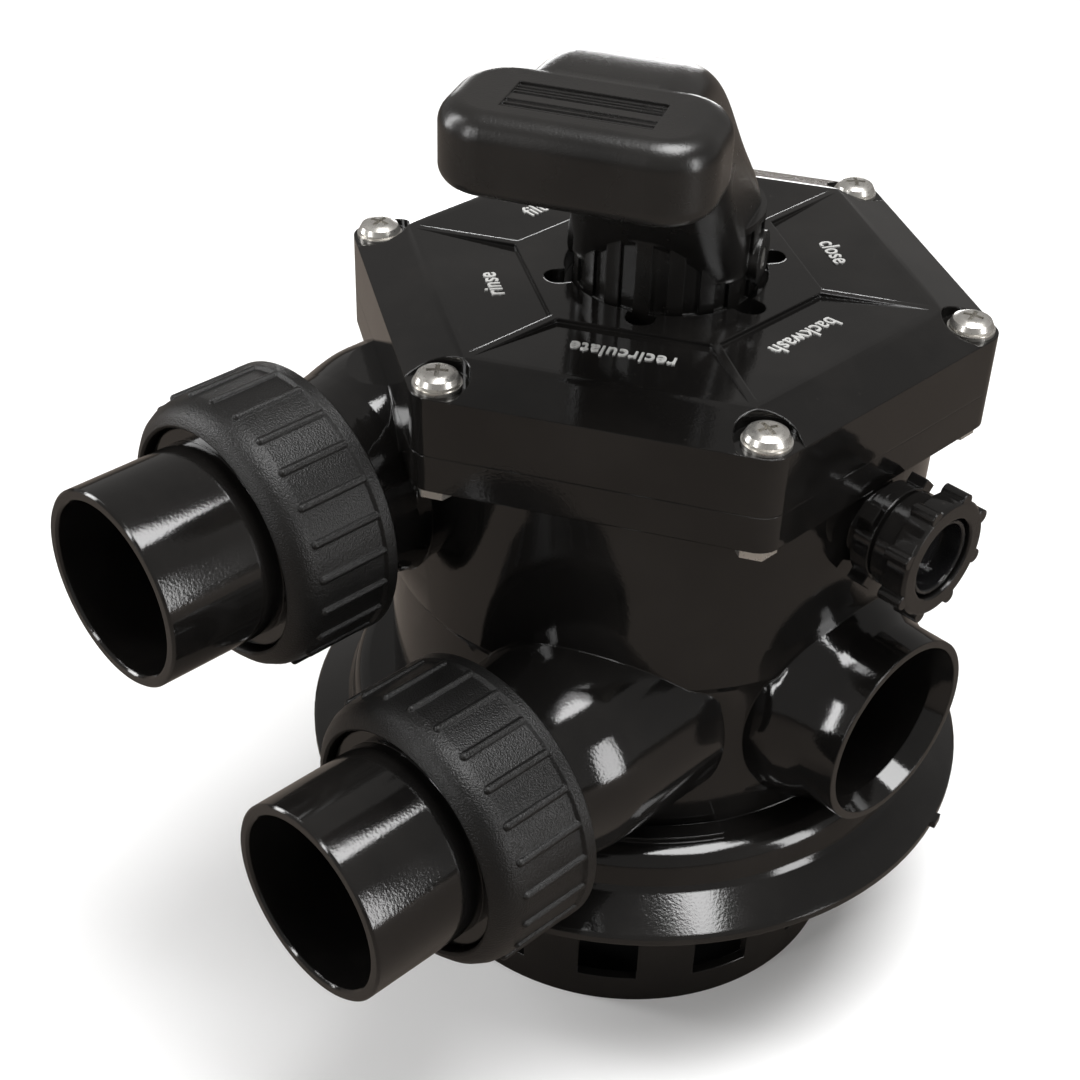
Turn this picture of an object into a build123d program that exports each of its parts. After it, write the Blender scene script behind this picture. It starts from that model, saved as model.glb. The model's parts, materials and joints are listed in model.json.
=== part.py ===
from build123d import *
from math import cos, sin, radians, tan, pi
import os

os.makedirs("parts", exist_ok=True)

# shared heights above the mouth of the riser socket
flange_base, flange_r, seat_low, seat_top = 62.0, 102.5, 140.5, 146.5
hex_base, parting, shelf, plateau = 188.5, 199.0, 216.0, 220.5
hex_flat, plateau_flat, corner_round = 79.5, 64.5, 7.0
screw_circle, screw_hole = 83.3, 3.3
screw_angles = [30, 90, 150, 210, 270, 330]
# ports
bore_r = 24.2
pump_x, pump_z, return_x, return_z = -38.0, 168.8, 38.0, 115.0
neck_r, male_r, male_start, male_end = 29.2, 35.5, -100.0, -118.0
waste_r, waste_end = 28.4, 97.0
# sight glass
sight_z = 176.7
# sleeve that takes the tank's riser pipe
sleeve_r, sleeve_in, sleeve_top = 30.0, 22.0, 87.0
# handle
handle_angle, pin_z, hub_r, hub_base, stem_r = 297.5, 228.0, 25.5, 214.6, 9.0


def polar(r, angle, z=0.0):
    return (r * cos(radians(angle)), r * sin(radians(angle)), z)


def hexagon_points(flat):
    return [(flat / cos(pi / 6) * cos(radians(a)), flat / cos(pi / 6) * sin(radians(a))) for a in screw_angles]


def spun_z(points):
    """Revolved profile of (radius, height) pairs about the main axis."""
    with BuildSketch(Plane.XZ, mode=Mode.PRIVATE) as sk:
        with BuildLine():
            Polyline(*points, close=True)
        make_face()
    return revolve(sk.sketch, Axis.Z, 360, mode=Mode.PRIVATE)


def hex_prism(flat, height):
    with BuildSketch(Plane.XY, mode=Mode.PRIVATE) as sk:
        RegularPolygon(flat, 6, major_radius=False)
    return extrude(sk.sketch, height, mode=Mode.PRIVATE)


def sector(r0, r1, z0, z1, start, end):
    """Annular sector between two azimuths."""
    with BuildSketch(Plane.XZ.rotated((0, 0, start)), mode=Mode.PRIVATE) as sk:
        with Locations(((r0 + r1) / 2, (z0 + z1) / 2)):
            Rectangle(r1 - r0, z1 - z0)
    return revolve(sk.sketch, Axis.Z, end - start, mode=Mode.PRIVATE)


def along_y(x, z, r, y0, y1):
    return Location((x, (y0 + y1) / 2, z)) * (Rot(90, 0, 0) * Cylinder(r, abs(y1 - y0), mode=Mode.PRIVATE))


def along_x(y, z, r, x0, x1):
    return Location(((x0 + x1) / 2, y, z)) * (Rot(0, 90, 0) * Cylinder(r, abs(x1 - x0), mode=Mode.PRIVATE))


def upright(r, z0, z1, x=0.0, y=0.0):
    return Location((x, y, (z0 + z1) / 2)) * Cylinder(r, z1 - z0, mode=Mode.PRIVATE)


def block(x0, x1, y0, y1, z0, z1):
    return Location(((x0 + x1) / 2, (y0 + y1) / 2, (z0 + z1) / 2)) * Box(x1 - x0, y1 - y0, z1 - z0, mode=Mode.PRIVATE)


def spun_y(points, x, z):
    """Revolved profile of (radius, y) pairs about a port axis."""
    with BuildSketch(Plane.XY, mode=Mode.PRIVATE) as sk:
        with BuildLine():
            Polyline(*points, close=True)
        make_face()
    return Location((x, 0, z)) * revolve(sk.sketch, Axis.Y, 360, mode=Mode.PRIVATE)


def saddle(x, z, wide, wide_end, narrow_end):
    """Collar that narrows smoothly along -Y from the wall of the body to the neck of a union port."""
    with BuildSketch(Plane.XY, mode=Mode.PRIVATE) as sk:
        with BuildLine():
            Polyline((neck_r, narrow_end), (0, narrow_end), (0, -40), (wide, -40), (wide, wide_end))
            Spline((wide, wide_end), (neck_r, narrow_end), tangents=((0, -1), (0, -1)))
        make_face()
    return Location((x, 0, z)) * revolve(sk.sketch, Axis.Y, 360, mode=Mode.PRIVATE)


def spun_x(points, z):
    """Revolved profile of (x, radius) pairs about the sight glass axis."""
    with BuildSketch(Plane.XZ, mode=Mode.PRIVATE) as sk:
        with BuildLine():
            Polyline(*points, close=True)
        make_face()
    return Location((0, 0, z)) * revolve(sk.sketch, Axis.X, 360, mode=Mode.PRIVATE)


# valve body
with BuildPart() as valve_body:
    add(spun_z([
        (0, 64), (0, hex_base), (79.2, hex_base), (78.4, 135), (76.8, 132), (76.6, 83), (84.5, 82.6), (86.7, 81.8),
        (88.2, 80.4), (89.2, 78), (90.2, 72.6), (91.4, 71.2), (101.6, 65), (flange_r, 64.2), (flange_r, flange_base),
        (60, flange_base), (60, 64)]))
    with BuildSketch(Plane.XY.offset(hex_base)):
        Polygon(*hexagon_points(hex_flat), align=None)
        fillet(vertices(), corner_round)
    extrude(amount=parting - hex_base)
    # necks of the three side ports, each wider at its root
    add(along_y(pump_x, pump_z, neck_r, -50, male_start - 2))
    add(saddle(pump_x, pump_z, 32.6, -66, -88))
    add(along_y(return_x, return_z, neck_r, -50, male_start - 2))
    add(saddle(return_x, return_z, 30.8, -72, -90))
    for x, z in ((pump_x, pump_z), (return_x, return_z)):
        add(along_y(x, z, male_r, male_start, male_end))
    add(along_x(0, 115, waste_r, 60, waste_end))
    add(spun_x([(60, 0), (60, 33), (76, 33), (86, waste_r), (86, 0)], 115))
    add(along_x(0, sight_z, 10.5, 70, 81))
    add(block(-150, 150, -hex_flat - 0.1, 150, parting, parting + 40), mode=Mode.SUBTRACT)
    # rib that carries the return neck
    add(block(return_x - 2, return_x + 2, -84, -60, 83, 100))
    # low crescent on the shelf and a locating nub on the flange's rim
    add(sector(78, 83, 82, 84.4, 287, 331))
    add(sector(flange_r - 1, flange_r + 1.4, flange_base, 64.4, 14.8, 17.2))
    # chamber above the seat, six ports through it, ducts below it
    add(upright(73, seat_top, parting + 1), mode=Mode.SUBTRACT)
    for k in range(6):
        add(sector(30, 54, seat_low - 1, seat_top + 1, 60 * k - 24, 60 * k + 24), mode=Mode.SUBTRACT)
    add(sector(30, 73, 87, seat_low, -27, 87), mode=Mode.SUBTRACT)
    add(sector(30, 73, 87, seat_low, 273, 327), mode=Mode.SUBTRACT)
    add(sector(30, 73, 87, seat_low, 153, 207), mode=Mode.SUBTRACT)
    for start in (93, 213):
        add(sector(30, 64, 50, seat_low, start, start + 54), mode=Mode.SUBTRACT)
    # open throat over the tank, socket for the riser sleeve and its way into the western duct
    add(upright(63, 50, 83), mode=Mode.SUBTRACT)
    add(upright(sleeve_r + 0.03, 80, sleeve_top), mode=Mode.SUBTRACT)
    add(upright(sleeve_in, 80, 128), mode=Mode.SUBTRACT)
    add(block(-33, -15, -14, 14, 92, 126), mode=Mode.SUBTRACT)
    # bores of the three side ports
    add(along_y(pump_x, pump_z, bore_r, -58, -130), mode=Mode.SUBTRACT)
    add(along_y(return_x, return_z, bore_r, -58, -130), mode=Mode.SUBTRACT)
    add(along_x(0, 115, bore_r, 68, 110), mode=Mode.SUBTRACT)
    add(spun_x([(91, 0), (91, bore_r), (waste_end, 26.2), (waste_end + 1, 26.6), (waste_end + 1, 0)], 115),
        mode=Mode.SUBTRACT)
    for x, z in ((pump_x, pump_z), (return_x, return_z)):
        add(spun_y([(28.6, -116.2), (32.4, -116.2), (32.4, -119), (28.6, -119)], x, z), mode=Mode.SUBTRACT)
    # duct that feeds the sight glass from the waste side
    add(block(61, 75, -12.5, 12.5, seat_top - 1, 191))
    add(block(64.5, 73.2, -9, 9, seat_low - 1, 188), mode=Mode.SUBTRACT)
    add(along_x(0, sight_z, 8.85, 70, 90), mode=Mode.SUBTRACT)
    # lid seal groove, screw holes, nut pockets
    add(spun_z([(73.5, 196.6), (77.2, 196.6), (77.2, 200), (73.5, 200)]),
        mode=Mode.SUBTRACT)
    for a in screw_angles:
        x, y, _ = polar(screw_circle, a)
        add(upright(screw_hole, 180, 200, x, y), mode=Mode.SUBTRACT)
        add(upright(6.2, 183.6, hex_base, x, y), mode=Mode.SUBTRACT)
        add(Location((x, y, hex_base)) * (Rot(0, 0, a) * hex_prism(5.15, 1.2)),
            mode=Mode.SUBTRACT)
valve_body.part.label = "valve_body"
export_step(valve_body.part, "parts/valve_body.step")

# riser sleeve, glued up into the body
with BuildPart() as riser_sleeve:
    add(upright(sleeve_r, 0, sleeve_top))
    add(upright(bore_r, -1, 40), mode=Mode.SUBTRACT)
    add(upright(sleeve_in, 39, sleeve_top + 1), mode=Mode.SUBTRACT)
    add(spun_z([(24, 9), (26.6, 9), (26.6, 12.2), (24, 12.2)]), mode=Mode.SUBTRACT)
riser_sleeve.part.label = "riser_sleeve"
export_step(riser_sleeve.part, "parts/riser_sleeve.step")

# diffuser skirt
skirt_r, skirt_in, window_w, window_h = 69.5, 66.5, 18.4, 16.0
with BuildPart() as skirt:
    add(upright(skirt_r, 0, flange_base))
    add(upright(skirt_in, -1, flange_base + 1), mode=Mode.SUBTRACT)
    for k in range(12):
        with Locations(Location(polar(68, 9.5 + 30 * k, 9.7 + window_h / 2), (0, 0, 9.5 + 30 * k))):
            Box(12, window_w, window_h, mode=Mode.SUBTRACT)
skirt.part.label = "skirt"
export_step(skirt.part, "parts/skirt.step")

# lid
notch_r, notch_centre, hub_hole = 4.0, 30.5, 28.0
with BuildPart() as lid:
    with BuildSketch(Plane.XY.offset(parting)):
        Polygon(*hexagon_points(hex_flat), align=None)
    extrude(amount=shelf - parting)
    with BuildSketch(Plane.XY.offset(shelf)):
        Polygon(*hexagon_points(hex_flat), align=None)
    with BuildSketch(Plane.XY.offset(plateau)):
        Polygon(*hexagon_points(plateau_flat), align=None)
    loft()
    with BuildSketch(Plane.XY.offset(parting)):
        Polygon(*hexagon_points(hex_flat), align=None)
        fillet(vertices(), corner_round)
    extrude(amount=30, mode=Mode.INTERSECT)
    # pockets for the screw heads, open to the corners
    for a in screw_angles:
        x, y, _ = polar(screw_circle, a)
        add(upright(8.4, shelf, plateau + 1, x, y), mode=Mode.SUBTRACT)
        with Locations(Location(polar(screw_circle + 8, a, shelf + 3), (0, 0, a))):
            Box(16, 16.8, 6, mode=Mode.SUBTRACT)
    # six sunken label panels, each deepest at its inner end
    for k in range(6):
        a = 60 * k
        near, far = 37.6, 63.4
        half_near, half_far = near * tan(pi / 6) - 1.3, far * tan(pi / 6) - 1.3
        tilt = 1.3 / (far - near)
        panel = Plane(origin=polar(far, a, plateau + 0.02), x_dir=polar(1, a, tilt), z_dir=polar(-tilt, a, 1))
        with BuildSketch(panel):
            Polygon((near - far, -half_near), (0, -half_far), (0, half_far), (near - far, half_near), align=None)
        extrude(amount=3, mode=Mode.SUBTRACT)
    # handle recess with its six stop notches
    add(upright(hub_hole, 214.2, plateau + 2), mode=Mode.SUBTRACT)
    for k in range(6):
        x, y, _ = polar(notch_centre, 60 * k)
        add(upright(notch_r, 214.2, plateau + 2, x, y), mode=Mode.SUBTRACT)
        with Locations(Location(polar(28, 60 * k, 217.8), (0, 0, 60 * k))):
            Box(5, 8, 7.2, mode=Mode.SUBTRACT)
    # hollow underside, spigot and stem boss
    add(spun_z([(19, 198), (66, 198), (66, 206), (62, 210), (38, 210), (36, 208.5), (19, 208.5)]),
        mode=Mode.SUBTRACT)
    add(spun_z([(68, 193), (71.7, 193), (71.7, 200), (68, 200)]))
    add(spun_z([(stem_r + 0.06, 196), (19, 196), (19, 200), (stem_r + 0.06, 200)]))
    add(upright(stem_r + 0.06, 190, 222), mode=Mode.SUBTRACT)
    for a in screw_angles:
        x, y, _ = polar(screw_circle, a)
        add(upright(screw_hole, 190, 222, x, y), mode=Mode.SUBTRACT)
lid.part.label = "lid"
export_step(lid.part, "parts/lid.step")

# lid seal and fasteners
with BuildPart() as lid_seal:
    add(spun_z([(73.7, 196.6), (77.0, 196.6), (77.0, parting), (73.7, parting)]))
lid_seal.part.label = "lid_seal"
export_step(lid_seal.part, "parts/lid_seal.step")

with BuildPart() as lid_washers:
    for a in screw_angles:
        x, y, _ = polar(screw_circle, a)
        add(upright(6.4, shelf, shelf + 1.0, x, y))
        add(upright(3.2, shelf - 1, shelf + 2, x, y), mode=Mode.SUBTRACT)
lid_washers.part.label = "lid_washers"
export_step(lid_washers.part, "parts/lid_washers.step")

head = [(0, 1.0), (5.7, 1.0), (5.9, 1.9), (5.2, 3.3), (3.6, 4.2), (0, 4.5)]
with BuildPart() as lid_screws:
    for n, a in enumerate(screw_angles):
        x, y, _ = polar(screw_circle, a)
        spot = Location((x, y, shelf)) * Rot(0, 0, 17 + 29 * n)
        add(spot * spun_z(head))
        add(upright(2.95, 183.4, shelf + 1.5, x, y))
        add(spot * (Location((0, 0, 4.0)) * Box(5.6, 1.2, 2.6, mode=Mode.PRIVATE)), mode=Mode.SUBTRACT)
        add(spot * (Location((0, 0, 4.0)) * Box(1.2, 5.6, 2.6, mode=Mode.PRIVATE)), mode=Mode.SUBTRACT)
lid_screws.part.label = "lid_screws"
export_step(lid_screws.part, "parts/lid_screws.step")

with BuildPart() as lid_nuts:
    for a in screw_angles:
        x, y, _ = polar(screw_circle, a)
        add(Location((x, y, 184.7)) * (Rot(0, 0, a) * hex_prism(5.0, 5.0)))
        add(upright(3.02, 184, 190, x, y), mode=Mode.SUBTRACT)
lid_nuts.part.label = "lid_nuts"
export_step(lid_nuts.part, "parts/lid_nuts.step")

# rotor, spring and their washers
rotor_base, rotor_top, rotor_r = 148.6, 160.0, 58.0
with BuildPart() as rotor:
    add(upright(rotor_r, rotor_base, rotor_top))
    add(upright(16, rotor_top, 166))
    add(upright(stem_r, 160, 236.5))
    add(sector(31, 53, rotor_base - 1, 157, handle_angle - 180 - 82, handle_angle - 180 + 22), mode=Mode.SUBTRACT)
    add(sector(31, 70, rotor_base - 1, rotor_top + 1, handle_angle - 180 + 38, handle_angle - 180 + 82),
        mode=Mode.SUBTRACT)
    for z in (203.0, 209.0):
        add(spun_z([(7.2, z - 1), (9.5, z - 1), (9.5, z + 1), (7.2, z + 1)]),
            mode=Mode.SUBTRACT)
    add(Location((0, 0, pin_z)) * (Rot(0, 0, handle_angle) * (Rot(90, 0, 0) * Cylinder(3.05, 30, mode=Mode.PRIVATE))),
        mode=Mode.SUBTRACT)
rotor.part.label = "rotor"
export_step(rotor.part, "parts/rotor.step")

with BuildPart() as stem_orings:
    for z in (203.0, 209.0):
        add(Location((0, 0, z)) * Torus(8.1, 0.88, mode=Mode.PRIVATE))
stem_orings.part.label = "stem_orings"
export_step(stem_orings.part, "parts/stem_orings.step")

spring_low, spring_high, coil_r, wire_r = 166.1, 194.6, 13.0, 1.3
with BuildPart() as rotor_spring:
    with BuildLine():
        Helix(pitch=(spring_high - spring_low - 2 * wire_r) / 5.5, height=spring_high - spring_low - 2 * wire_r,
              radius=coil_r, center=(0, 0, spring_low + wire_r))
    with BuildSketch(Plane.XZ):
        with Locations((coil_r, spring_low + wire_r)):
            Circle(wire_r)
    sweep(is_frenet=True)
    split(bisect_by=Plane.XY.offset(spring_low + wire_r * 0.7), keep=Keep.TOP)
    split(bisect_by=Plane.XY.offset(spring_high - wire_r * 0.7), keep=Keep.BOTTOM)
rotor_spring.part.label = "rotor_spring"
export_step(rotor_spring.part, "parts/rotor_spring.step")

with BuildPart() as slip_washer:
    add(upright(17.5, 194.8, 195.9))
    add(upright(stem_r + 0.3, 190, 200), mode=Mode.SUBTRACT)
slip_washer.part.label = "slip_washer"
export_step(slip_washer.part, "parts/slip_washer.step")

with BuildPart() as seat_gasket:
    add(spun_z([(54.5, seat_top), (57.5, seat_top), (57.5, 148.5), (54.5, 148.5)]))
    add(spun_z([(25.5, seat_top), (29, seat_top), (29, 148.5), (25.5, 148.5)]))
    for k in range(6):
        a = 60 * k + 30
        with Locations(Location(polar(41.5, a, (seat_top + 148.5) / 2), (0, 0, a))):
            Box(27, 3.4, 148.5 - seat_top)
seat_gasket.part.label = "seat_gasket"
export_step(seat_gasket.part, "parts/seat_gasket.step")

# handle
turn = Location((0, 0, 0), (0, 0, handle_angle))
arm_half, grip_half = 20.5, 31.5
grip_near, grip_far, grip_low, grip_top = 66.5, 101.5, 281.5, 300.5
# stations up the arm: reach, height, lean from upright, depth, width
arm_stations = [
    (0, 227.3, 0, 37.2, 47.4), (6.5, 241.5, 30, 34, 46), (21, 260, 42, 28, 43), (37.5, 280, 58, 23, 41),
    (56, 289.6, 80, 20, 41), (76, 291.2, 90, 17, 41)]
with BuildPart() as handle_hub:
    add(upright(hub_r, hub_base, 241))
    # fins between grooves round the hub
    for k in range(18):
        with Locations(Location(polar(hub_r, 10 + 20 * k, 229), (0, 0, 10 + 20 * k))):
            Box(2.4, 4.4, 20, mode=Mode.SUBTRACT)
    # rounded ears at the ends of the pin
    for side in (-1, 1):
        add(Location((0, side * 24.2, pin_z)) * (Rot(90, 0, 0) * Cylinder(7.5, 4.4, mode=Mode.PRIVATE)))
with BuildPart() as handle_arm:
    for u, z, lean, depth, width in arm_stations:
        along = radians(lean)
        with BuildSketch(Plane((u, 0, z), x_dir=(cos(along), 0, -sin(along)), z_dir=(sin(along), 0, cos(along)))):
            RectangleRounded(depth, width, min(9, depth / 2 - 0.6))
    loft()
with BuildPart() as handle_grip:
    with BuildSketch(Plane.XY.offset(grip_low)):
        with Locations(((grip_near + grip_far) / 2, 0)):
            RectangleRounded(grip_far - grip_near, 2 * grip_half, 13)
    extrude(amount=grip_top - grip_low)
    fillet(faces().sort_by(Axis.Z)[-1].edges(), 5.6)
    fillet(faces().sort_by(Axis.Z)[0].edges(), 4.2)
with BuildPart() as handle:
    add(turn * handle_hub.part)
    add(turn * handle_arm.part)
    add(turn * handle_grip.part)
    # open underside of the arm and the stem well
    with BuildSketch(turn * Plane.XZ.offset(-arm_half + 3.5)):
        with BuildLine():
            Polyline((-13, 238), (-8, 246), (5, 257), (17, 270), (31, 282), (46, 291), (60, 294), (60, 268), (34, 228),
                     (4, 226), (-13, 232), close=True)
        make_face()
    extrude(amount=2 * arm_half - 7, mode=Mode.SUBTRACT)
    add(upright(stem_r + 0.5, hub_base - 1, 240), mode=Mode.SUBTRACT)
    add(turn * block(-14, 14, -10.2, 10.2, 213, 240), mode=Mode.SUBTRACT)
    # recessed panel with raised stripes on the grip
    add(turn * block(78.4, 92.6, -17, 17, grip_top - 0.8, grip_top + 5), mode=Mode.SUBTRACT)
    for u, w in ((80.0, 0.5), (81.6, 0.5), (83.0, 0.5), (86.0, 3.0), (89.6, 0.6), (91.5, 0.6)):
        add(turn * block(u - w / 2, u + w / 2, -17, 17, grip_top - 1, grip_top - 0.3))
    add(turn * (Location((0, 0, pin_z)) * (Rot(90, 0, 0) * Cylinder(3.05, 80, mode=Mode.PRIVATE))),
        mode=Mode.SUBTRACT)
handle.part.label = "handle"
export_step(handle.part, "parts/handle.step")

with BuildPart() as handle_pin:
    add(turn * (Location((0, 0, pin_z)) * (Rot(90, 0, 0) * Cylinder(3.0, 52.4, mode=Mode.PRIVATE))))
handle_pin.part.label = "handle_pin"
export_step(handle_pin.part, "parts/handle_pin.step")

# union sets: tail, nut and seal on each of the two necks
unions = (("pump", pump_x, pump_z), ("return", return_x, return_z))
tail_r, collar_r, tail_end, rib_r = 27.5, 31.6, -160.0, 1.15

for end, x, z in unions:
    with BuildPart() as union_tail:
        add(spun_y([
            (21, -118.1), (35.3, -118.1), (35.3, -123.1), (collar_r, -123.1), (collar_r, -125.6), (30.8, -126.4),
            (tail_r, -126.4), (tail_r, tail_end + 0.6), (tail_r - 0.6, tail_end), (bore_r + 0.6, tail_end),
            (bore_r, tail_end + 0.6), (bore_r, -131), (21, -131)], x, z))
    union_tail.part.label = f"{end}_tail"
    export_step(union_tail.part, f"parts/{end}_tail.step")

    with BuildPart() as union_nut:
        add(spun_y([
            (35.8, -97.4), (38.2, -97.4), (39.2, -98.2), (39.2, -101.2), (38.3, -102), (38.1, -121.4), (37.6, -124.2),
            (36.4, -126.6), (34.6, -128.3), (32.6, -129.2), (31.9, -128.6), (31.9, -123.5), (35.8, -123.5)], x, z))
        # grip ribs that end in small domes
        for k in range(24):
            dx, dz, _ = polar(38.0, 15 * k + 7.5)
            add(along_y(x + dx, z + dz, rib_r, -101.5, -121.2))
            add(Location((x + dx, -121.2, z + dz)) * Sphere(rib_r, mode=Mode.PRIVATE))
    union_nut.part.label = f"{end}_nut"
    export_step(union_nut.part, f"parts/{end}_nut.step")

    with BuildPart() as union_oring:
        add(spun_y([(28.8, -116.25), (32.2, -116.25), (32.2, -118.05), (28.8, -118.05)], x, z))
    union_oring.part.label = f"{end}_oring"
    export_step(union_oring.part, f"parts/{end}_oring.step")

# sight glass
with BuildPart() as sight_adapter:
    add(spun_x([(72, 6.8), (92.2, 6.8), (92.2, 12.0), (87.6, 12.0), (87.0, 13.4), (81.6, 13.4), (81.1, 12.8),
                (81.1, 8.8), (72, 8.8)], sight_z))
    for k in range(4):
        a = 45 + 90 * k
        with Locations(Location((84.2, 13.6 * cos(radians(a)), sight_z + 13.6 * sin(radians(a))), (a, 0, 0))):
            Box(5.2, 5.0, 4.6)
    add(spun_x([(90.6, 9.0), (93, 9.0), (93, 10.4), (90.6, 10.4)], sight_z), mode=Mode.SUBTRACT)
    add(along_x(0, sight_z, 6.8, 70, 95), mode=Mode.SUBTRACT)
sight_adapter.part.label = "sight_adapter"
export_step(sight_adapter.part, "parts/sight_adapter.step")

with BuildPart() as sight_oring:
    add(spun_x([(90.65, 9.05), (92.25, 9.05), (92.25, 10.35), (90.65, 10.35)], sight_z))
sight_oring.part.label = "sight_oring"
export_step(sight_oring.part, "parts/sight_oring.step")

with BuildPart() as sight_glass:
    add(spun_x([(92.3, 0), (94.0, 0), (94.0, 9.5), (99.8, 9.5), (100.2, 9.9), (100.2, 10.5), (99.8, 10.9),
                (93.9, 10.9), (93.9, 12.1), (92.3, 12.1)], sight_z))
sight_glass.part.label = "sight_glass"
export_step(sight_glass.part, "parts/sight_glass.step")

with BuildPart() as sight_nut:
    add(spun_x([(88.4, 12.4), (88.4, 13.5), (94.2, 13.5), (94.2, 15.9), (94.8, 16.5), (100.6, 16.5), (101.3, 15.8),
                (101.3, 11.9), (100.9, 11.5), (94.1, 11.5), (94.1, 12.4)], sight_z))
    for k in range(8):
        a = 22.5 + 45 * k
        y, z = 16.4 * cos(radians(a)), 16.4 * sin(radians(a))
        add(along_x(y, sight_z + z, 2.0, 94.2, 101.2))
sight_nut.part.label = "sight_nut"
export_step(sight_nut.part, "parts/sight_nut.step")

# seals at the tank end
with BuildPart() as tank_gasket:
    add(spun_z([(90, flange_base - 2), (98, flange_base - 2), (98, flange_base), (90, flange_base)]))
tank_gasket.part.label = "tank_gasket"
export_step(tank_gasket.part, "parts/tank_gasket.step")

with BuildPart() as riser_oring:
    add(spun_z([(bore_r + 0.01, 9.1), (26.5, 9.1), (26.5, 12.1), (bore_r + 0.01, 12.1)]))
riser_oring.part.label = "riser_oring"
export_step(riser_oring.part, "parts/riser_oring.step")
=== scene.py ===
import json
from math import cos, pi, radians, sin

import bmesh
import bpy
from mathutils import Matrix, Vector

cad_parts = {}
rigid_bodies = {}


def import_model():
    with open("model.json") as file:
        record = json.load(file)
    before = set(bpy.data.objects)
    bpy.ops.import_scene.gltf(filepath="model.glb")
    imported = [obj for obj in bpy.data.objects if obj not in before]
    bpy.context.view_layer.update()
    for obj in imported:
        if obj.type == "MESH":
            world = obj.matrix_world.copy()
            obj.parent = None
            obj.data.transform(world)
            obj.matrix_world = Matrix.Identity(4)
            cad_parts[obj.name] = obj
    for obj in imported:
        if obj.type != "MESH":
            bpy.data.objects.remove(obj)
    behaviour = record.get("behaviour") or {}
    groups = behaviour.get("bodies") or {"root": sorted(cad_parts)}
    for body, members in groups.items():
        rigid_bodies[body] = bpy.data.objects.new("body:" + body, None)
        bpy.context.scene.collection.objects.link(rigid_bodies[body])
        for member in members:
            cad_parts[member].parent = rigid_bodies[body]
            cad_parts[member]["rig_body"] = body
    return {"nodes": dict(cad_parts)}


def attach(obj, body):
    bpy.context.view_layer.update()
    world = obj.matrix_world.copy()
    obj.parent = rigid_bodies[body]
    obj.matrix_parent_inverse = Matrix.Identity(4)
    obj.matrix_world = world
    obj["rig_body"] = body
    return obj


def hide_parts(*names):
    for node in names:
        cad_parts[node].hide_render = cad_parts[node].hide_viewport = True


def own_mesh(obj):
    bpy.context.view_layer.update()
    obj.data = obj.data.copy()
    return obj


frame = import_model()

scene = bpy.context.scene
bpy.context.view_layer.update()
nodes = frame["nodes"]
mm = 0.001
cornerRadius = 0.6 * mm


# shader helpers

def newMaterial(name):
    mat = bpy.data.materials.new(name)
    mat.use_nodes = True
    tree = mat.node_tree
    return mat, tree, tree.nodes["Principled BSDF"]


def setInputs(node, values):
    for socketName, value in values.items():
        node.inputs[socketName].default_value = value


def place(tree, kind, x=0, y=0, **values):
    node = tree.nodes.new(kind)
    node.location = (x, y)
    setInputs(node, values)
    return node


def newGroup(name, inputs, outputs):
    group = bpy.data.node_groups.new(name, "ShaderNodeTree")
    for socketName, kind, value in inputs:
        socket = group.interface.new_socket(socketName, in_out="INPUT", socket_type=kind)
        if value is not None:
            socket.default_value = value
    for socketName, kind in outputs:
        group.interface.new_socket(socketName, in_out="OUTPUT", socket_type=kind)
    start = group.nodes.new("NodeGroupInput")
    start.location = (-900, 0)
    end = group.nodes.new("NodeGroupOutput")
    end.location = (700, 0)
    return group, start, end


def mathNode(tree, operation, first, second, x=0, y=0):
    node = tree.nodes.new("ShaderNodeMath")
    node.operation = operation
    node.location = (x, y)
    for socket, value in zip(node.inputs, (first, second)):
        if isinstance(value, bpy.types.NodeSocket):
            tree.links.new(value, socket)
        else:
            socket.default_value = value
    return node.outputs[0]


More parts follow.
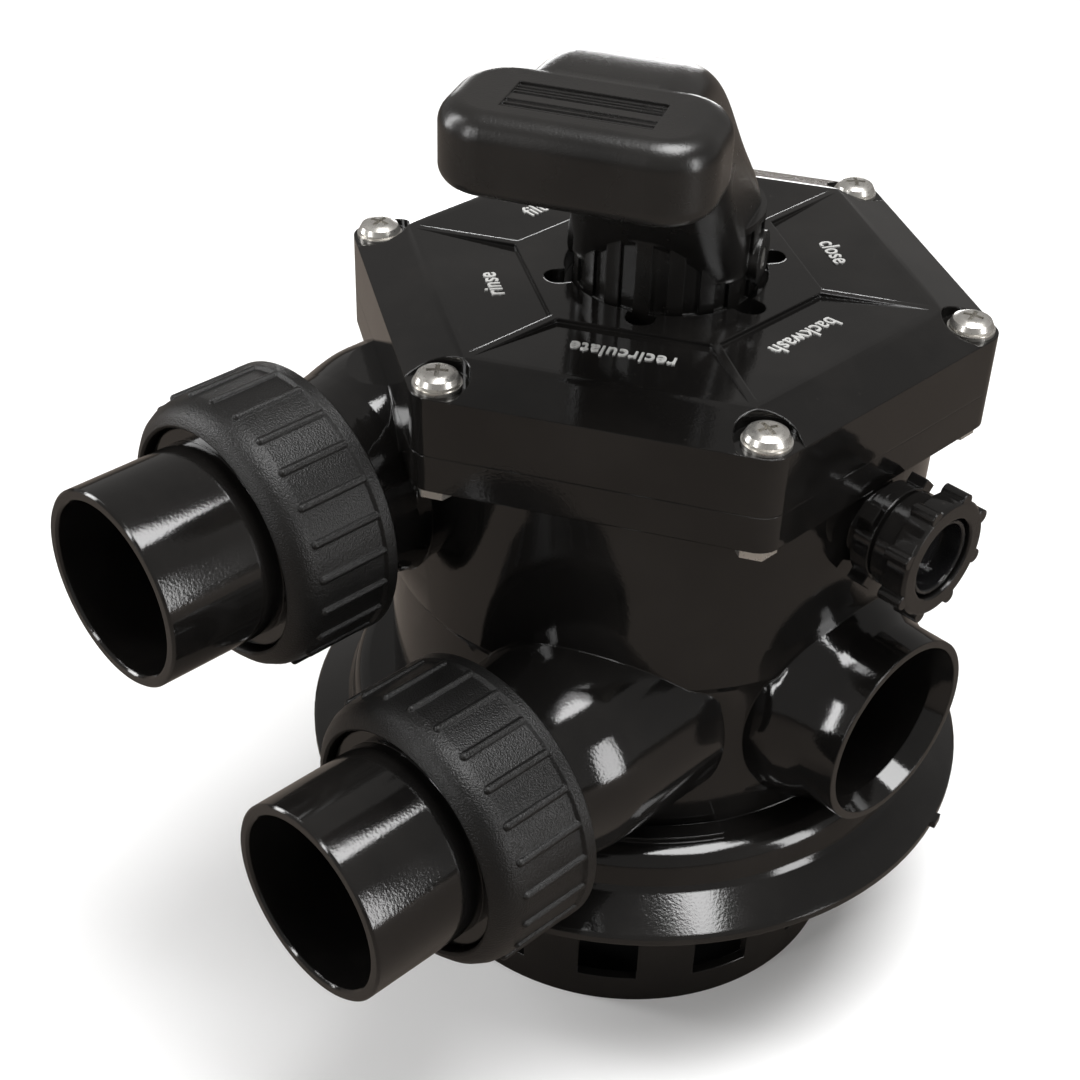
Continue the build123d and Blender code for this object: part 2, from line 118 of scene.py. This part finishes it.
# moulded plastic: slow flow waviness, fine grain, a little dust and handling haze
def mouldedSkinGroup():
    floatKind, colorKind, hazeShare = "NodeSocketFloat", "NodeSocketColor", 0.35
    group, start, end = newGroup(
        "mouldedSkin",
        [("Base", colorKind, (0.01, 0.01, 0.01, 1)), ("Haze", colorKind, (0.03, 0.028, 0.026, 1)),
         ("Grain Scale", floatKind, 900), ("Grain", floatKind, 0.02), ("Wave", floatKind, 0.2),
         ("Rough Low", floatKind, 0.12), ("Rough High", floatKind, 0.25), ("Dust", floatKind, 0.3)],
        [("Color", colorKind), ("Roughness", floatKind), ("Height", floatKind)])
    links = group.links
    spot = place(group, "ShaderNodeTexCoord", -900, -300)
    smear = place(group, "ShaderNodeTexNoise", -600, 300, Scale=22, Detail=5, Roughness=0.62)
    speck = place(group, "ShaderNodeTexNoise", -600, 60, Scale=520, Detail=2, Roughness=0.5)
    grain = place(group, "ShaderNodeTexNoise", -600, -200, Detail=2, Roughness=0.55)
    wave = place(group, "ShaderNodeTexNoise", -600, -460, Scale=34, Detail=1, Roughness=0.4)
    for texture in (smear, speck, grain, wave):
        links.new(spot.outputs["Object"], texture.inputs["Vector"])
    links.new(start.outputs["Grain Scale"], grain.inputs["Scale"])
    hazeMask = place(group, "ShaderNodeMapRange", -380, 300)
    setInputs(hazeMask, {"From Min": 0.45, "From Max": 0.8})
    links.new(smear.outputs["Fac"], hazeMask.inputs["Value"])
    speckMask = place(group, "ShaderNodeMapRange", -380, 60)
    setInputs(speckMask, {"From Min": 0.72, "From Max": 0.78})
    links.new(speck.outputs["Fac"], speckMask.inputs["Value"])
    dust = mathNode(group, "MULTIPLY", speckMask.outputs[0], start.outputs["Dust"], -160, 60)
    haze = mathNode(group, "MULTIPLY", hazeMask.outputs[0], hazeShare, -160, 300)
    both = mathNode(group, "MAXIMUM", haze, dust, 0, 160)
    color = place(group, "ShaderNodeMix", 300, 250)
    color.data_type = "RGBA"
    links.new(both, color.inputs["Factor"])
    links.new(start.outputs["Base"], color.inputs["A"])
    links.new(start.outputs["Haze"], color.inputs["B"])
    rough = place(group, "ShaderNodeMix", 300, 0)
    links.new(both, rough.inputs["Factor"])
    links.new(start.outputs["Rough Low"], rough.inputs["A"])
    links.new(start.outputs["Rough High"], rough.inputs["B"])
    fine = mathNode(group, "MULTIPLY", grain.outputs["Fac"], start.outputs["Grain"], -100, -200)
    slow = mathNode(group, "MULTIPLY", wave.outputs["Fac"], start.outputs["Wave"], -100, -460)
    height = mathNode(group, "ADD", fine, slow, 200, -300)
    links.new(color.outputs["Result"], end.inputs["Color"])
    links.new(rough.outputs["Result"], end.inputs["Roughness"])
    links.new(height, end.inputs["Height"])
    return group


mouldedSkin = mouldedSkinGroup()


# a bevel node rounds the moulded corners in the shading alone
def plastic(name, base, haze, grainScale, grain, wave, rough, dust, relief, **shader):
    mat, tree, bsdf = newMaterial(name)
    skin = place(tree, "ShaderNodeGroup", -500, 0)
    skin.node_tree = mouldedSkin
    setInputs(skin, {"Base": (*base, 1), "Haze": (*haze, 1), "Grain Scale": grainScale, "Grain": grain,
                     "Wave": wave, "Rough Low": rough[0], "Rough High": rough[1], "Dust": dust})
    bump = place(tree, "ShaderNodeBump", -220, -200, Strength=1.0, Distance=relief)
    softCorner = place(tree, "ShaderNodeBevel", -480, -420, Radius=cornerRadius)
    softCorner.samples = 4
    tree.links.new(softCorner.outputs["Normal"], bump.inputs["Normal"])
    tree.links.new(skin.outputs["Color"], bsdf.inputs["Base Color"])
    tree.links.new(skin.outputs["Roughness"], bsdf.inputs["Roughness"])
    tree.links.new(skin.outputs["Height"], bump.inputs["Height"])
    tree.links.new(bump.outputs["Normal"], bsdf.inputs["Normal"])
    setInputs(bsdf, shader)
    return mat


stainShade = 0.72


# scratched and spun metal, darker where it is stained
def metal(name, base, rough, scratchScale, relief, metallic):
    mat, tree, bsdf = newMaterial(name)
    spot = place(tree, "ShaderNodeTexCoord", -900, 0)
    scratch = place(tree, "ShaderNodeTexNoise", -700, 0, Scale=scratchScale, Detail=3, Roughness=0.6)
    stain = place(tree, "ShaderNodeTexNoise", -700, -260, Scale=160, Detail=4, Roughness=0.6)
    spread = place(tree, "ShaderNodeMapRange", -480, 0)
    setInputs(spread, {"To Min": rough[0], "To Max": rough[1]})
    tint = place(tree, "ShaderNodeMix", -300, 240)
    tint.data_type = "RGBA"
    tint.inputs["A"].default_value = (*base, 1)
    tint.inputs["B"].default_value = (*[stainShade * channel for channel in base], 1)
    bump = place(tree, "ShaderNodeBump", -250, -200, Strength=0.5, Distance=relief)
    tree.links.new(spot.outputs["Object"], scratch.inputs["Vector"])
    tree.links.new(spot.outputs["Object"], stain.inputs["Vector"])
    tree.links.new(scratch.outputs["Fac"], spread.inputs["Value"])
    tree.links.new(stain.outputs["Fac"], tint.inputs["Factor"])
    tree.links.new(tint.outputs["Result"], bsdf.inputs["Base Color"])
    tree.links.new(spread.outputs[0], bsdf.inputs["Roughness"])
    tree.links.new(scratch.outputs["Fac"], bump.inputs["Height"])
    tree.links.new(bump.outputs["Normal"], bsdf.inputs["Normal"])
    bsdf.inputs["Metallic"].default_value = metallic
    return mat


black, warmHaze = (0.0045, 0.0042, 0.004), (0.022, 0.02, 0.018)
finishes = {
    "glossBlack": plastic(
        "glossBlack", base=black, haze=warmHaze, grainScale=1300, grain=0.05, wave=0.5, rough=(0.07, 0.2),
        dust=0.5, relief=0.35 * mm, **{"IOR": 1.53, "Specular IOR Level": 0.5}),
    "handleBlack": plastic(
        "handleBlack", base=(0.006, 0.0056, 0.0052), haze=warmHaze, grainScale=1500, grain=0.12, wave=0.3,
        rough=(0.26, 0.38), dust=0.4, relief=0.3 * mm, **{"IOR": 1.53}),
    "satinBlack": plastic(
        "satinBlack", base=(0.0048, 0.0046, 0.0044), haze=(0.02, 0.019, 0.018), grainScale=2100, grain=0.5,
        wave=0.25, rough=(0.33, 0.45), dust=0.25, relief=0.4 * mm,
        **{"IOR": 1.5, "Specular IOR Level": 0.34}),
    "innerGrey": plastic(
        "innerGrey", base=(0.05, 0.05, 0.054), haze=(0.09, 0.09, 0.09), grainScale=1200, grain=0.1, wave=0.3,
        rough=(0.35, 0.5), dust=0.1, relief=0.3 * mm, **{"IOR": 1.5}),
    "sealRubber": plastic(
        "sealRubber", base=(0.012, 0.012, 0.012), haze=(0.04, 0.04, 0.04), grainScale=2600, grain=0.5,
        wave=0.1, rough=(0.6, 0.75), dust=0.3, relief=0.3 * mm, **{"IOR": 1.5}),
    "slipWhite": plastic(
        "slipWhite", base=(0.72, 0.71, 0.68), haze=(0.6, 0.58, 0.55), grainScale=1600, grain=0.1, wave=0.1,
        rough=(0.4, 0.5), dust=0.1, relief=0.2 * mm, **{"IOR": 1.45}),
    "stainless": metal("stainless", base=(0.72, 0.7, 0.66), rough=(0.2, 0.38), scratchScale=900,
                       relief=0.02 * mm, metallic=0.9),
    "silverFoil": metal("silverFoil", base=(0.86, 0.86, 0.84), rough=(0.25, 0.4), scratchScale=1500,
                        relief=0.01 * mm, metallic=0.45),
    "smokedClear": plastic(
        "smokedClear", base=(0.05, 0.05, 0.052), haze=(0.08, 0.08, 0.08), grainScale=1500, grain=0.02,
        wave=0.2, rough=(0.04, 0.1), dust=0.1, relief=0.2 * mm,
        **{"IOR": 1.49, "Transmission Weight": 0.85, "Alpha": 1.0}),
}
print("materials", len(finishes))


# CAD nodes dressed for the eye: a merged copy with smooth curves and crisp flats

softEdge = {
    "smoothAngle": radians(28),
    "mergeDistance": 0.004 * mm,
    "flatAngle": radians(0.35),
    "widthRatio": 3.0,
    "thinnest": 0.001 * mm,
}


# patches of coplanar triangles, so that a wide flat never takes its shading from a narrow curve beside it
def flatPatches(bm):
    patchOf = {}
    for seed in bm.faces:
        if seed in patchOf:
            continue
        patch, todo = [], [seed]
        patchOf[seed] = patch
        while todo:
            face = todo.pop()
            patch.append(face)
            for edge in face.edges:
                if len(edge.link_faces) != 2 or edge.calc_face_angle(0) > softEdge["flatAngle"]:
                    continue
                for other in edge.link_faces:
                    if other not in patchOf:
                        patchOf[other] = patch
                        todo.append(other)
    return patchOf


# how far a patch reaches from the line of an edge
def reachFrom(edge, patch):
    start = edge.verts[0].co
    along = (edge.verts[1].co - start).normalized()
    return max((vert.co - start).cross(along).length for face in patch for vert in face.verts)


# shading splits at sharp bends, and where a flat meets one much narrower than itself
def splitShading(bm):
    patchOf = flatPatches(bm)
    for edge in bm.edges:
        if len(edge.link_faces) != 2:
            continue
        bend = edge.calc_face_angle(0)
        edge.smooth = bend < softEdge["smoothAngle"]
        if edge.smooth and bend > softEdge["flatAngle"]:
            near, far = (reachFrom(edge, patchOf[face]) for face in edge.link_faces)
            narrow, wide = max(min(near, far), softEdge["thinnest"]), max(near, far)
            edge.smooth = wide < softEdge["widthRatio"] * narrow


def dress(node, finish):
    source = nodes[node]
    source.data.materials.clear()
    source.data.materials.append(finishes[finish])
    mesh = source.data.copy()
    mesh.name = node + "Skin"
    bm = bmesh.new()
    bm.from_mesh(mesh)
    bmesh.ops.remove_doubles(bm, verts=bm.verts, dist=softEdge["mergeDistance"])
    bmesh.ops.dissolve_degenerate(bm, edges=bm.edges, dist=softEdge["mergeDistance"])
    for face in bm.faces:
        face.smooth = True
    splitShading(bm)
    bm.to_mesh(mesh)
    bm.free()
    mesh.materials.clear()
    mesh.materials.append(finishes[finish])
    piece = bpy.data.objects.new(node + "Skin", mesh)
    scene.collection.objects.link(piece)
    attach(piece, source["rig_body"])
    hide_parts(node)
    return piece


wardrobe = {
    "valve_body": ("glossBlack", "gloss_black"),
    "riser_sleeve": ("glossBlack", "gloss_black"),
    "skirt": ("glossBlack", "gloss_black"),
    "lid": ("glossBlack", "gloss_black"),
    "handle": ("handleBlack", "gloss_black"),
    "pump_tail": ("glossBlack", "gloss_black"),
    "return_tail": ("glossBlack", "gloss_black"),
    "pump_nut": ("satinBlack", "satin_black"),
    "return_nut": ("satinBlack", "satin_black"),
    "sight_adapter": ("glossBlack", "gloss_black"),
    "sight_nut": ("glossBlack", "gloss_black"),
    "sight_glass": ("smokedClear", "smoked_clear"),
    "lid_screws": ("stainless", "stainless"),
    "lid_washers": ("stainless", "stainless"),
    "lid_nuts": ("stainless", "stainless"),
    "handle_pin": ("stainless", "stainless"),
    "rotor_spring": ("stainless", "stainless"),
    "rotor": ("innerGrey", "inner_grey"),
    "slip_washer": ("slipWhite", "slip_white"),
    "lid_seal": ("sealRubber", "seal_rubber"),
    "seat_gasket": ("sealRubber", "seal_rubber"),
    "tank_gasket": ("sealRubber", "seal_rubber"),
    "riser_oring": ("sealRubber", "seal_rubber"),
    "pump_oring": ("sealRubber", "seal_rubber"),
    "return_oring": ("sealRubber", "seal_rubber"),
    "sight_oring": ("sealRubber", "seal_rubber"),
    "stem_orings": ("sealRubber", "seal_rubber"),
}
skins = {node: dress(node, finish) for node, (finish, slotName) in wardrobe.items()}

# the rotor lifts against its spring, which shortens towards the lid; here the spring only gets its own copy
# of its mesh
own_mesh(skins["rotor_spring"])
print("skins", len(wardrobe))


# raised foil words on the lid panels, which slope down towards the handle

panel = {"outer": 63.4 * mm, "inner": 37.6 * mm, "fall": 1.3 * mm}
words = {
    "plateau": 220.5 * mm,
    "size": 7.4 * mm,
    "raise": 0.35 * mm,
    "squeeze": 0.82,
    "weight": 0.08 * mm,
    "spacing": 1.06,
    "radius": 49 * mm,
    "gap": 0.05 * mm,
    "labels": {0: "backwash", 60: "close", 120: "waste", 180: "filter", 240: "rinse", 300: "recirculate"},
}


def foilWord(text, azimuth):
    curve = bpy.data.curves.new(text + "Word", "FONT")
    curve.body = text
    curve.align_x = "CENTER"
    curve.align_y = "CENTER"
    curve.size = words["size"]
    curve.extrude = words["raise"]
    curve.offset = words["weight"]
    curve.space_character = words["spacing"]
    curve.resolution_u = 5
    holder = bpy.data.objects.new("holder", curve)
    scene.collection.objects.link(holder)
    mesh = bpy.data.meshes.new_from_object(holder.evaluated_get(bpy.context.evaluated_depsgraph_get()))
    bpy.data.objects.remove(holder)
    outward = Vector((cos(azimuth), sin(azimuth), 0))
    reading = Vector((outward.y, -outward.x, 0))
    tilt = panel["fall"] / (panel["outer"] - panel["inner"])
    up = (outward + Vector((0, 0, tilt))).normalized()
    normal = reading.cross(up)
    height = words["plateau"] - (panel["outer"] - words["radius"]) * tilt + words["gap"]
    spot = outward * words["radius"] + Vector((0, 0, height))
    turn = Matrix((reading * words["squeeze"], up, normal)).transposed().to_4x4()
    mesh.transform(Matrix.Translation(spot) @ turn)
    mesh.materials.clear()
    mesh.materials.append(finishes["silverFoil"])
    piece = bpy.data.objects.new(text + "Word", mesh)
    scene.collection.objects.link(piece)
    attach(piece, "housing")


for azimuth, text in words["labels"].items():
    foilWord(text, radians(azimuth))
print("words", len(words["labels"]))


# floor, lights, camera

ground = {
    "halfSide": 6,
    "pale": 0.92,
    # painted reflection: the floor colour that glossy rays see
    "reflected": (0.17, 0.145, 0.125, 1),
    # painted shadow under the skirt: the floor colour at the middle, and the radii where it fades back to
    # pale
    "paintedShadowLevel": 0.01,
    "darkTo": 66 * mm,
    "paleFrom": 69 * mm,
}


def groundPlane():
    mesh = bpy.data.meshes.new("floor")
    bm = bmesh.new()
    bmesh.ops.create_grid(bm, x_segments=1, y_segments=1, size=ground["halfSide"])
    bm.to_mesh(mesh)
    bm.free()
    floor = bpy.data.objects.new("floor", mesh)
    scene.collection.objects.link(floor)
    mat, tree, bsdf = newMaterial("paleFloor")
    setInputs(bsdf, {"Roughness": 0.9, "Specular IOR Level": 0.1})
    # painted reflection: the gloss of the valve sees the floor as a darker, warmer table
    path = place(tree, "ShaderNodeLightPath", -500, 0)
    shade = place(tree, "ShaderNodeMix", -250, 0)
    shade.data_type = "RGBA"
    shade.inputs["B"].default_value = ground["reflected"]
    # painted shadow: under the skirt the floor colour falls to near black towards the middle, a painted
    # contact shadow
    spot = place(tree, "ShaderNodeTexCoord", -1100, 200)
    distance = place(tree, "ShaderNodeVectorMath", -900, 200)
    distance.operation = "LENGTH"
    paintedShadowMask = place(tree, "ShaderNodeMapRange", -700, 200)
    setInputs(paintedShadowMask, {"From Min": ground["darkTo"], "From Max": ground["paleFrom"],
                      "To Min": ground["paintedShadowLevel"], "To Max": ground["pale"]})
    tree.links.new(spot.outputs["Object"], distance.inputs[0])
    tree.links.new(distance.outputs["Value"], paintedShadowMask.inputs["Value"])
    tree.links.new(paintedShadowMask.outputs[0], shade.inputs["A"])
    tree.links.new(path.outputs["Is Glossy Ray"], shade.inputs["Factor"])
    tree.links.new(shade.outputs["Result"], bsdf.inputs["Base Color"])
    mesh.materials.append(mat)


# every lamp is a soft box aimed at the middle of the valve
heart = (0, -0.03, 0.14)
lamps = {
    "overhead": {"spot": (0.3, 0.1, 1.7), "width": 0.9, "height": 0.9, "power": 32},
    "rightWall": {"spot": (1.2, 0.25, 0.4), "width": 0.25, "height": 0.8, "power": 6},
    "leftWall": {"spot": (-1.15, -0.75, 0.75), "width": 0.26, "height": 1.2, "power": 12},
    "frontStrip": {"spot": (-0.25, -1.5, 0.7), "width": 0.16, "height": 1.0, "power": 7},
    "backRim": {"spot": (-1.1, 1.1, 0.16), "width": 0.8, "height": 0.2, "power": 4},
}


def softBox(name, lamp):
    light = bpy.data.lights.new(name, "AREA")
    light.shape = "RECTANGLE"
    light.size = lamp["width"]
    light.size_y = lamp["height"]
    light.energy = lamp["power"]
    holder = bpy.data.objects.new(name, light)
    scene.collection.objects.link(holder)
    holder.location = lamp["spot"]
    aim = Vector(heart) - Vector(lamp["spot"])
    holder.rotation_euler = aim.to_track_quat("-Z", "Y").to_euler()


groundPlane()
for name, lamp in lamps.items():
    softBox(name, lamp)

sky = {"color": (1.0, 0.97, 0.94, 1), "strength": 0.26}
world = bpy.data.worlds.new("studio")
world.use_nodes = True
setInputs(world.node_tree.nodes["Background"], {"Color": sky["color"], "Strength": sky["strength"]})
scene.world = world
scene.view_settings.view_transform = "Standard"

shot = {
    "spot": (0.29773, -0.34311, 0.45672),
    "azimuth": radians(44.98),
    "elevation": radians(36.10),
    "roll": radians(2.0),
    "lens": 61.56,
    "sensor": 36,
    "nearest": 0.01,
}
camera = bpy.data.cameras.new("camera")
camera.lens = shot["lens"]
camera.sensor_width = shot["sensor"]
camera.clip_start = shot["nearest"]
eye = bpy.data.objects.new("camera", camera)
scene.collection.objects.link(eye)
heading = Matrix.Rotation(shot["azimuth"], 4, "Z")
pitch = Matrix.Rotation(pi / 2 - shot["elevation"], 4, "X")
roll = Matrix.Rotation(shot["roll"], 4, "Z")
eye.matrix_world = Matrix.Translation(shot["spot"]) @ heading @ pitch @ roll
scene.camera = eye
print("camera and lights")
